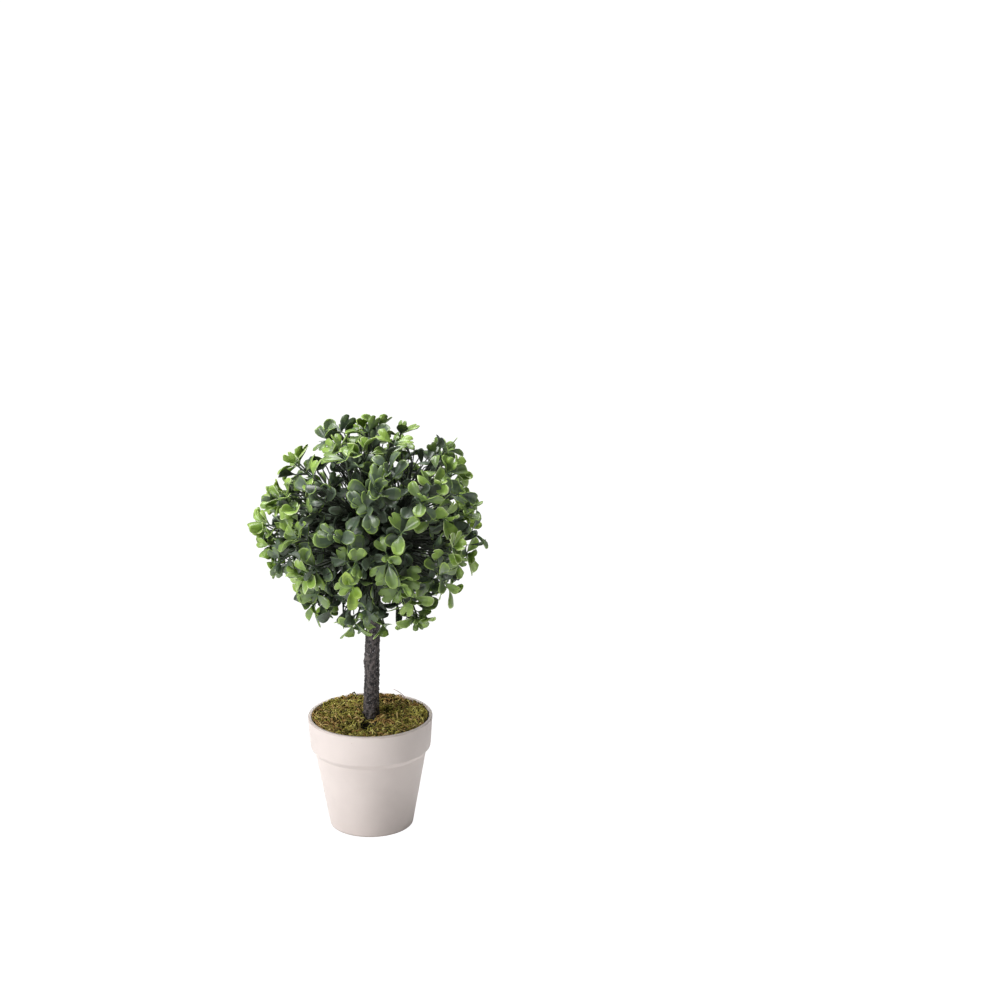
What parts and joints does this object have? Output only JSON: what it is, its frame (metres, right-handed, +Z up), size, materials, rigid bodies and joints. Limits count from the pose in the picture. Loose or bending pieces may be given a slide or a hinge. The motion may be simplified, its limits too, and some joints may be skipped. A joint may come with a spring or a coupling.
{
  "type": "artificial box topiary ball in a pot",
  "caption": "Small artificial box plant clipped to a loose ball on one bare stem, set in moss in a round tapered plastic pot with a collar.",
  "frame": {"origin": "centre of the pot's flat underside, at the level of the surface that it stands on", "axes": "+Z up along the plant, +X to the right and +Y away from the viewer in front"},
  "size_m": [0.1527, 0.1491, 0.28],
  "materials": {
    "pot": "matte",
    "moss": "matte",
    "bark": "matte",
    "stems": "satin",
    "leaves": "satin"
  },
  "bodies": {
    "root": {"pot": "pot", "moss_bed": "moss", "trunk": "bark", "foliage_top": "leaves", "bough_top": "stems", "foliage_upper_1": "leaves", "bough_upper_1": "stems", "foliage_upper_2": "leaves", "bough_upper_2": "stems", "foliage_upper_3": "leaves", "bough_upper_3": "stems", "foliage_upper_4": "leaves", "bough_upper_4": "stems", "foliage_upper_5": "leaves", "bough_upper_5": "stems", "foliage_middle_1": "leaves", "bough_middle_1": "stems", "foliage_middle_2": "leaves", "bough_middle_2": "stems", "foliage_middle_3": "leaves", "bough_middle_3": "stems", "foliage_middle_4": "leaves", "bough_middle_4": "stems", "foliage_middle_5": "leaves", "bough_middle_5": "stems", "foliage_middle_6": "leaves", "bough_middle_6": "stems", "foliage_lower_1": "leaves", "bough_lower_1": "stems", "foliage_lower_2": "leaves", "bough_lower_2": "stems", "foliage_lower_3": "leaves", "bough_lower_3": "stems", "foliage_lower_4": "leaves", "bough_lower_4": "stems", "foliage_lower_5": "leaves", "bough_lower_5": "stems"}
  },
  "joints": []
}
